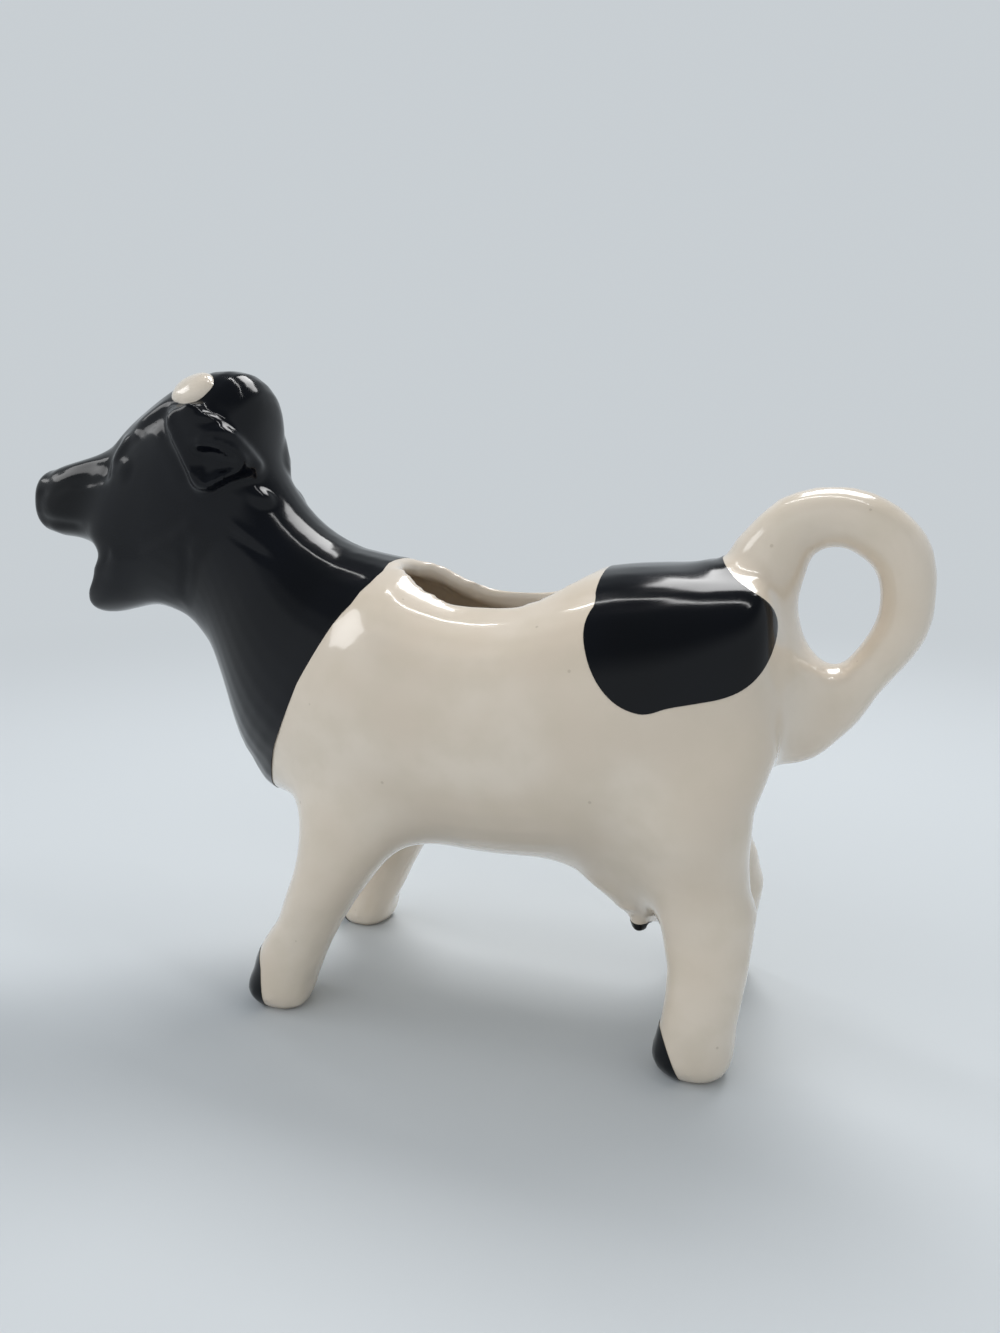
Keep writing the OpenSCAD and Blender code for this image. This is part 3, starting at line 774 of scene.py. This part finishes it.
# %% The glaze line
GLAZE_LINE = [
    (389, 563), (383, 571), (376, 577), (370, 583), (360, 592), (351, 604),
    (342, 613), (333, 624), (323, 639), (316, 650), (306, 667), (297, 683),
    (291, 698), (285, 714), (279, 731), (273.5, 749), (272, 762), (272, 774),
]
LINE_TOP, LINE_LOW = (-3, 97), (-35.2, 34)
ROUND_THE_HEAD = [(-60, 20), (-120, 20), (-120, 150), (-3, 150)]
REACH = 60


def prism_block(title, outline, skew=0):
    """A block with that outline in X and Z in mm, which moves by skew mm in X for every mm in Y."""
    prism = bmesh.new()
    ring = [prism.verts.new(((px - skew * REACH) * MM, -REACH * MM, pz * MM)) for px, pz in outline]
    face = prism.faces.new(ring)
    grown = bmesh.ops.extrude_face_region(prism, geom=[face])
    moved = [part for part in grown["geom"] if isinstance(part, bmesh.types.BMVert)]
    bmesh.ops.translate(prism, verts=moved, vec=(2 * skew * REACH * MM, 2 * REACH * MM, 0))
    bmesh.ops.recalc_face_normals(prism, faces=prism.faces)
    return mesh_object(title, prism)


def skin_tree(obj):
    """A search tree of an object's faces, for casting rays."""
    form = bmesh.new()
    form.from_mesh(obj.data)
    tree = BVHTree.FromBMesh(form)
    form.free()
    return tree


cream_tree = skin_tree(cream)
line = [LINE_TOP] + on_skin(cream_tree, GLAZE_LINE) + [LINE_LOW]
print("glaze line, mm:", [(round(a, 1), round(b, 1)) for a, b in line])
ahead_of_line = line + ROUND_THE_HEAD
carve(head, prism_block("glaze_block", ahead_of_line), "INTERSECT")
carve(cream, prism_block("glaze_block", ahead_of_line), "DIFFERENCE")
print("after the cut:", len(head.data.polygons), "black and", len(cream.data.polygons), "cream faces")

# %% [markdown]
# ## Glaze fields
# The rump patch, the toes and the dipped ends of the teats are glaze laid over glaze: a skin a few
# tenths of a millimetre thick, which stands out from the cream by a tenth and has a crisp edge. The
# cream skin under the field is copied, given a thickness, and cut to the field's outline, so that the
# black lies on the form like the real second coat.

# %% Glaze fields
def field(title, zone, outline, lift=0.12 * MM, depth=0.5 * MM, skew=0):
    """A thin closed skin of the cream casting's faces in zone, cut to an outline in X and Z in mm."""
    coat = bmesh.new()
    coat.from_mesh(cream.data)
    coat.normal_update()
    gone = [face for face in coat.faces if not zone(face.calc_center_median() / MM, face.normal)]
    bmesh.ops.delete(coat, geom=gone, context="FACES")
    for corner in coat.verts:
        corner.co += corner.normal * lift
    made = mesh_object(title, coat)
    body = made.modifiers.new("body", "SOLIDIFY")
    body.thickness, body.offset = depth, -1
    settle(made)
    return carve(made, prism_block("prism", outline, skew=skew), "INTERSECT")


def rounded(points, steps):
    """The same outline with its corners cut again and again, which rounds them."""
    for _ in range(steps):
        points = [
            (a[0] * k + b[0] * (1 - k), a[1] * k + b[1] * (1 - k))
            for a, b in zip(points, points[1:] + points[:1])
            for k in (0.75, 0.25)
        ]
    return points


RUMP_START, RUMP_END, RUMP_LOW = 30, 72, 62
CORE_HEIGHT = 66


def on_rump(at, normal):
    """True if a face at that place in mm, with that normal, is on the outside of back or flanks."""
    outward = normal.y * at.y > 0.05 * abs(at.y) or normal.z > 0.3
    off_the_core = normal.dot(Vector((0, at.y, at.z - CORE_HEIGHT))) > 0
    return RUMP_START < at.x < RUMP_END and at.z > RUMP_LOW and outward and off_the_core


PATCH_EDGE = [
    (596, 587), (596, 603), (588, 614), (583, 630), (584.5, 650), (591, 673), (603, 693), (618, 707),
    (638, 715), (651, 714), (666, 708.5), (695, 704), (724, 699), (746, 689), (763, 672), (774, 650),
    (779, 628), (776, 611), (766, 599), (749, 589), (738, 581), (731, 573), (727, 567),
]
ABOVE_BACK = 99
patch_outline = on_skin(cream_tree, PATCH_EDGE)
first, last = patch_outline[0][0], patch_outline[-1][0]
patch_outline = [(first, ABOVE_BACK)] + patch_outline + [(last - 10, ABOVE_BACK)]
print("patch outline, mm:", [(round(a, 1), round(b, 1)) for a, b in patch_outline])
patch = field("rump_patch_glaze", on_rump, rounded(patch_outline, 2))

# Each row holds the X of the field's edge at the sole, the edge's slant in degrees and the field's
# height. The block's skew turns the edge round the toe; on the leg's outer side it stands at that X.
TOES = (("front", -26.9, 4, 12), ("hind", 56.4, 23, 9.5))
TOE_SKEW = 0.2
OUTER_SIDE = 27.5
AHEAD, BELOW = 20, -3
toes = []
for end, edge, lean, top in TOES:
    slant = math.tan(math.radians(lean))
    outline = [(edge - AHEAD, BELOW), (edge - BELOW * slant, BELOW), (edge - 5 * slant, 5),
               (edge - 9 * slant, 9), (edge - top * slant - 0.6, top), (edge - AHEAD, top + 0.4)]
    outline = [(px - TOE_SKEW * OUTER_SIDE, pz) for px, pz in outline]
    for side, sign in zip(SIDES, (-1, 1)):
        toes.append(field(
            f"{end}_toe_glaze_{side}",
            lambda at, normal: edge - 18 < at.x < edge + 6 and at.z < 16 and at.y * sign > 0,
            outline, lift=0.1 * MM, skew=sign * TOE_SKEW,
        ))

DIP = 1.9
BESIDE = 4
teats = []
for name, foot in zip(teat_names, teat_feet):
    px, py, _ = foot / MM
    beside = (abs(cream_corners[:, :2] - np.array(foot[:2])) < BESIDE * MM).all(axis=1)
    tip = cream_corners[beside, 2].min() / MM
    outline = [(px - 6, tip - 2), (px + 6, tip - 2), (px + 6, tip + DIP), (px - 6, tip + DIP)]
    teats.append(field(
        f"{name}_glaze",
        lambda at, normal: abs(at.x - px) < 5 and abs(at.y - py) < BESIDE and at.z < tip + 4,
        outline, lift=0.08 * MM, depth=0.4 * MM,
    ))
print("patch:", len(patch.data.polygons), "faces, toes:", [len(o.data.polygons) for o in toes])
print("teats:", [(o.name, len(o.data.polygons)) for o in teats])

# %% [markdown]
# ## Shader arithmetic
# A glaze is worked out from small facts about each point: where it lies, how far it is from the
# sole, how close to a pinhole. A small class wraps a socket, so that such facts can be added and
# multiplied as Python expressions, and each expression adds its own nodes.

# %% Shader arithmetic
class Fact:
    """One socket of a material, with arithmetic."""

    def __init__(self, tree, socket=None):
        self.tree, self.socket = tree, socket

    def node(self, kind, settings=None, inputs=None, out=0):
        """Adds a node of that kind, with its settings first, then its sockets' values or links."""
        made = self.tree.nodes.new(kind)
        for name, value in (settings or {}).items():
            setattr(made, name, value)
        for name, value in (inputs or {}).items():
            if isinstance(value, Fact):
                self.tree.links.new(value.socket, made.inputs[name])
            else:
                made.inputs[name].default_value = value
        return Fact(self.tree, made.outputs[out])

    def math(self, operation, one, other):
        """One step of arithmetic on two values, of which either may be a Fact."""
        return self.node("ShaderNodeMath", {"operation": operation}, {0: one, 1: other})

    def __add__(self, other):
        return self.math("ADD", self, other)

    def __radd__(self, other):
        return self.math("ADD", other, self)

    def __sub__(self, other):
        return self.math("SUBTRACT", self, other)

    def __rsub__(self, other):
        return self.math("SUBTRACT", other, self)

    def __mul__(self, other):
        return self.math("MULTIPLY", self, other)

    def __lt__(self, other):
        return self.math("LESS_THAN", self, other)

    def step(self, low, high):
        """0 below low, 1 above high, and smooth between them."""
        return self.node("ShaderNodeMapRange", {"interpolation_type": "SMOOTHSTEP"},
                         {"Value": self, "From Min": low, "From Max": high})

    def blend(self, one, other):
        """Colour one where this is 0 and colour other where it is 1."""
        made = self.tree.nodes.new("ShaderNodeMix")
        made.data_type = "RGBA"
        for key, value in (("Factor_Float", self), ("A_Color", one), ("B_Color", other)):
            socket = next(s for s in made.inputs if s.identifier == key)
            if isinstance(value, Fact):
                self.tree.links.new(value.socket, socket)
            else:
                socket.default_value = value
        return Fact(self.tree, next(s for s in made.outputs if s.identifier == "Result_Color"))


def colour(r, g, b):
    """A colour read off a screen, 0 to 255, as the linear numbers that a shader takes."""
    return (*(c / 255 / 12.92 if c < 10 else ((c / 255 + 0.055) / 1.055) ** 2.4 for c in (r, g, b)), 1)


def finish_of(title):
    """A new material, its shader node and a first Fact, the place of a point on the object."""
    made = bpy.data.materials.new(title)
    made.use_nodes = True
    place = Fact(made.node_tree).node("ShaderNodeTexCoord", out=3)
    return made, made.node_tree.nodes["Principled BSDF"], place


def wire(shader, **facts):
    """Links a Fact to each of the shader's sockets that is named, with a line for a space."""
    for name, fact in facts.items():
        fact.tree.links.new(fact.socket, shader.inputs[name.replace("_", " ")])


def rippled(place, wave):
    """The normal of a surface that a wave of that height disturbs."""
    return place.node("ShaderNodeBump", None, {"Height": wave, "Distance": 0.25 * MM, "Strength": 0.5})


print("middle grey as linear numbers:", [round(c, 3) for c in colour(128, 128, 128)])

# %% [markdown]
# ## Cream glaze
# An opaque cream glaze over pale clay isn't one colour: wide clouds run from a warm cream to a paler
# one and narrow ones are greyer, with pinholes where gas came through and a rare dark speck of iron.
# Its surface has the faint waviness of a dipped coat. The soles are wiped bare before the firing, so the
# lowest few tenths of a millimetre show matt clay, with a brown edge above that is also a painted contact
# shadow where the feet stand on the card.

# %% Cream glaze
CREAM_WARM, CREAM_PALE, CREAM_GREY = colour(218, 203, 184), colour(226, 213, 196), colour(212, 199, 178)
PINHOLE, IRON = colour(150, 132, 108), colour(96, 74, 54)
# The brown edge colour is partly the glaze's edge and partly painted contact shadow at the feet.
BARE_CLAY, BROWN_EDGE_AND_SHADOW = colour(206, 186, 160), colour(150, 120, 92)


def noise(place, scale, detail=2.0):
    """Clouds, 0 to 1, of that many to the metre."""
    return place.node("ShaderNodeTexNoise", None, {"Vector": place, "Scale": scale, "Detail": detail})


def pinholes(place, scale, size, share):
    """1 in dots of that size, as a part of a cell, in that share of cells."""
    cells = {"Vector": place, "Scale": scale}
    distance = place.node("ShaderNodeTexVoronoi", None, cells)
    chance = place.node("ShaderNodeTexVoronoi", None, cells, out=1)
    pick = chance.node("ShaderNodeSeparateColor", None, {"Color": chance})
    return (1 - distance.step(size * 0.6, size)) * (pick < share)


def cream_glaze():
    """The cream glaze, with bare soles; heights are measured from the card."""
    made, shader, place = finish_of("cream_glaze")
    height = place.node("ShaderNodeSeparateXYZ", None, {"Vector": place}, out=2)
    clouds, brush = noise(place, 38), noise(place, 140, 3)
    holes = pinholes(place, 260, 0.10, 0.16)
    iron = pinholes(place, 95, 0.035, 0.05)
    body = clouds.step(0.35, 0.65).blend(CREAM_WARM, CREAM_PALE)
    body = (brush.step(0.4, 0.7) * 0.35).blend(body, CREAM_GREY)
    body = (holes * 0.30).blend(body, PINHOLE)
    body = (iron * 0.75).blend(body, IRON)
    bare = 1 - (height + brush * (0.5 * MM)).step(0.35 * MM, 0.75 * MM)
    # A brown band just above the bare soles: the glaze's edge, and a painted contact shadow where the feet
    # meet the card.
    edge = (1 - (height + brush * (1.0 * MM)).step(0.9 * MM, 1.9 * MM)) * 0.35
    body = bare.blend(edge.blend(body, BROWN_EDGE_AND_SHADOW), BARE_CLAY)
    wave = noise(place, 55, 1) * 0.6 + noise(place, 420, 1) * 0.05 - holes * 0.12 - iron * 0.05
    wire(shader, Base_Color=body, Roughness=0.16 + clouds * 0.08 + bare * 0.5,
         Normal=rippled(place, wave), Coat_Weight=0.8 - bare * 0.8)
    shader.inputs["Coat Roughness"].default_value = 0.05
    shader.inputs["IOR"].default_value = 1.5
    return made


CREAM = cream_glaze()
print("cream glaze:", len(CREAM.node_tree.nodes), "nodes")

# %% [markdown]
# ## Black glaze
# The black is a cobalt and iron glaze: nearly black, with faint blue clouds that are a painted reflection
# of blue surroundings, and it mirrors a little less than the cream does. It ran a little, so its surface
# is wavier, and dust left a few fine pits.
# On the wall of the hollow it gives way to the cream lining.

# %% Black glaze
# The blue black is a painted reflection of blue surroundings, not a colour of the glaze.
BLACK_DEEP, BLACK_BLUE_SHEEN = colour(5, 6, 9), colour(9, 11, 17)
PIT, LINING = colour(70, 66, 62), colour(214, 199, 180)


def black_glaze():
    """The black glaze, which shows the lining where the attribute of that name is 1."""
    made, shader, place = finish_of("black_glaze")
    clouds, runs = noise(place, 30), noise(place, 110, 2)
    pits = pinholes(place, 210, 0.07, 0.10)
    # The clouds mix in the painted blue reflection.
    body = clouds.step(0.35, 0.7).blend(BLACK_DEEP, BLACK_BLUE_SHEEN)
    body = (pits * 0.5).blend(body, PIT)
    lining = place.node("ShaderNodeAttribute", {"attribute_name": "lining"}, out=2)
    body = lining.step(0.35, 0.65).blend(body, LINING)
    wave = noise(place, 60, 1) * 0.8 + runs * 0.12 - pits * 0.10
    wire(shader, Base_Color=body, Roughness=0.08 + runs * 0.08, Normal=rippled(place, wave))
    shader.inputs["IOR"].default_value = 1.42
    shader.inputs["Specular IOR Level"].default_value = 0.36
    return made


BLACK = black_glaze()
print("black glaze:", len(BLACK.node_tree.nodes), "nodes")

# %% [markdown]
# ## Glazing the pieces
# Each piece takes its glaze, stands in for the CAD nodes that it covers, and rides on the jug's one
# body.

# %% Glazing the pieces
def glaze(piece, material, slot, *nodes, crisp=30):
    """Gives a piece its glaze and hides the CAD nodes that it stands in for; edges sharper than crisp
    degrees stay edges.
    """
    piece.data.materials.clear()
    piece.data.materials.append(material)
    for face in piece.data.polygons:
        face.use_smooth = True
    piece.data.set_sharp_from_angle(angle=math.radians(crisp))
    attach(piece, "root")
    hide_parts(*nodes)


glaze(cream, CREAM, "cream_glaze", "body_shell", "tail_handle", "udder",
      *[name for name in LEG_NODES if "_leg_" in name], crisp=50)
glaze(head, BLACK, "black_glaze", "head_shell", "neck_shell", "ear_left", "ear_right", crisp=50)
inner = on_hollow(Skin(head))
lining = head.data.attributes.new("lining", "FLOAT", "POINT")
lining.data.foreach_set("value", inner)
glaze(patch, BLACK, "black_glaze", "rump_patch")
for dipped in toes + teats:
    glaze(dipped, BLACK, "black_glaze", dipped.name.replace("_glaze", ""))
for horn, side in zip(horns, SIDES):
    glaze(horn, CREAM, "cream_glaze", f"horn_{side}")

# %% [markdown]
# ## The card under the jug
# A wide sheet of pale card lies under the feet. Far from the jug it takes on the colour of the light
# tent, so that no edge shows where the card ends and the tent begins.

# %% The card
CARD_DARK, CARD_PALE = colour(201, 206, 209), colour(206, 210, 213)
CARD_NEAR, CARD_FAR = 0.16, 0.6


def card():
    """The sheet of card, 16 m wide, which turns into the tent between two distances."""
    sheet = bmesh.new()
    bmesh.ops.create_grid(sheet, x_segments=8, y_segments=8, size=8)
    made = mesh_object("card", sheet)
    paper, shader, place = finish_of("pale_card")
    tree = paper.node_tree
    wire(shader, Base_Color=noise(place, 3).blend(CARD_DARK, CARD_PALE))
    shader.inputs["Roughness"].default_value = 0.7
    away = place.node("ShaderNodeVectorMath", {"operation": "LENGTH"}, {0: place}, out=1)
    tent = place.node("ShaderNodeEmission", None, {"Color": TENT, "Strength": 1.0})
    seen = tree.nodes.new("ShaderNodeMixShader")
    tree.links.new(away.step(CARD_NEAR, CARD_FAR).socket, seen.inputs[0])
    tree.links.new(shader.outputs["BSDF"], seen.inputs[1])
    tree.links.new(tent.socket, seen.inputs[2])
    tree.links.new(seen.outputs[0], tree.nodes["Material Output"].inputs["Surface"])
    made.data.materials.append(paper)
    made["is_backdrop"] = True


card()

# %% [markdown]
# ## The dressed jug's box
# The dressed jug's box is printed, in millimetres.

# %% The dressed jug's box
low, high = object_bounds()
print("visual box, mm:", [round(v / MM, 1) for v in (*low, *high)])
